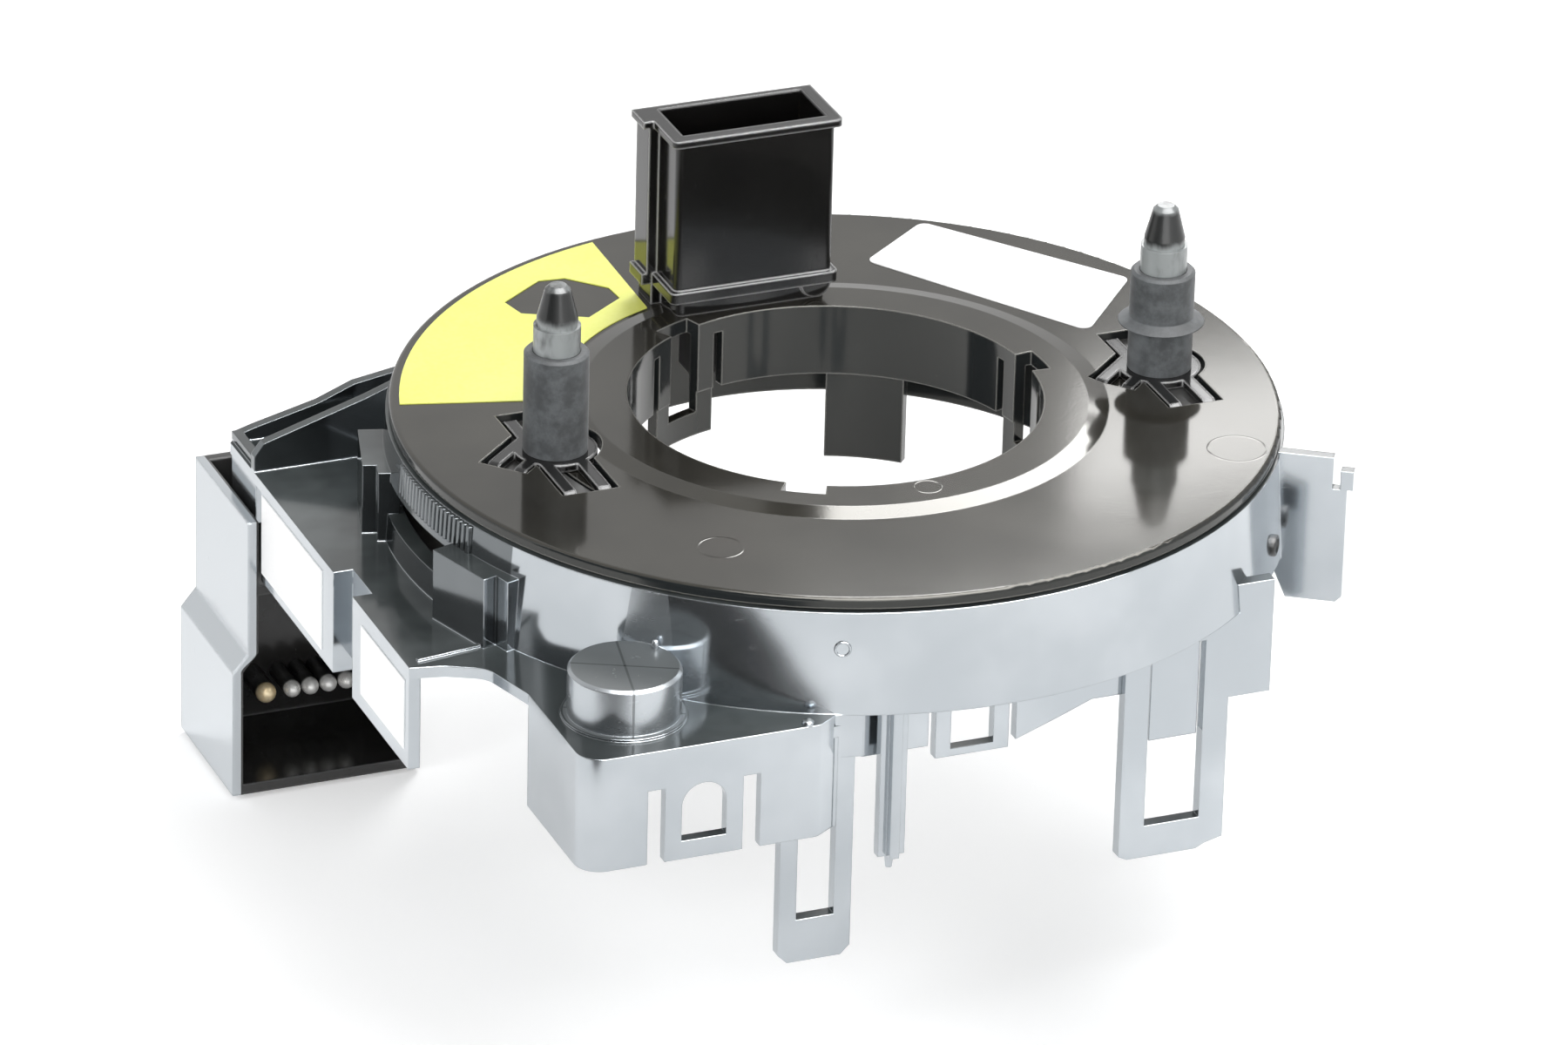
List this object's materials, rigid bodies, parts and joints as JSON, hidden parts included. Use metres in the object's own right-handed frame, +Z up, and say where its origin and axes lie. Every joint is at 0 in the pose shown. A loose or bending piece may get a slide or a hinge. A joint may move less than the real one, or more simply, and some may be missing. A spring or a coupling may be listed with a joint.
{
  "type": "steering clock spring",
  "caption": "Steering clock spring: a rotor disc with drive pins and a connector shroud turns in a stator housing with mounting legs; a coiled flat cable links them.",
  "frame": {"origin": "turning axis at the top plane of the rotor disc", "axes": "+Z up along the turning axis to the steering wheel, +X to the right drive pin, +Y away from the snap legs to the connector shroud"},
  "size_m": [0.1177, 0.1064, 0.079],
  "materials": {
    "rotor_plastic": "glossy dark brownish grey moulding",
    "pin_plastic": "dark moulding with pale wear on the cone",
    "sleeve_rubber": "matte blue-grey rubber",
    "slide_foil": "smooth dark film",
    "cable_film": "laminated flat cable",
    "terminal_plastic": "dark moulding",
    "shroud_plastic": "near-black glossy moulding",
    "contact_gold": "plated contacts",
    "contact_tin": "tinned contacts",
    "stator_plastic": "glossy grey moulding with a soft sheen",
    "socket_plastic": "dark glossy moulding",
    "label_yellow": "bare yellow label",
    "label_white": "bare white label"
  },
  "bodies": {
    "stator": {"stator_housing": "stator_plastic", "front_bracket": "stator_plastic", "right_snap_leg": "stator_plastic", "front_wall": "stator_plastic", "low_clip": "stator_plastic", "centring_prong": "stator_plastic", "harness_box": "stator_plastic", "harness_socket": "socket_plastic", "harness_pins": "contact_tin", "airbag_pin": "contact_gold", "lower_slide_foil": "slide_foil", "flat_cable": "cable_film", "outer_terminal": "terminal_plastic", "housing_label": "label_white", "housing_label_small": "label_white"},
    "rotor": {"rotor_disc": "rotor_plastic", "pin_carrier_left": "shroud_plastic", "pin_carrier_right": "shroud_plastic", "drive_pin_left": "pin_plastic", "drive_pin_right": "pin_plastic", "pin_sleeve_left": "sleeve_rubber", "pin_sleeve_right": "sleeve_rubber", "cable_drum": "rotor_plastic", "retaining_ring": "rotor_plastic", "upper_slide_foil": "slide_foil", "inner_terminal": "terminal_plastic", "lead_block": "terminal_plastic", "connector_shroud": "shroud_plastic", "contact_block": "shroud_plastic", "shroud_contacts": "contact_gold", "yellow_label": "label_yellow", "white_label": "label_white"}
  },
  "joints": [
    {"name": "rotor_turn", "type": "hinge", "parent": "stator", "child": "rotor", "pos_m": [0, 0, 0], "axis": [0, 0, 1], "range_deg": [-900, 900]}
  ]
}
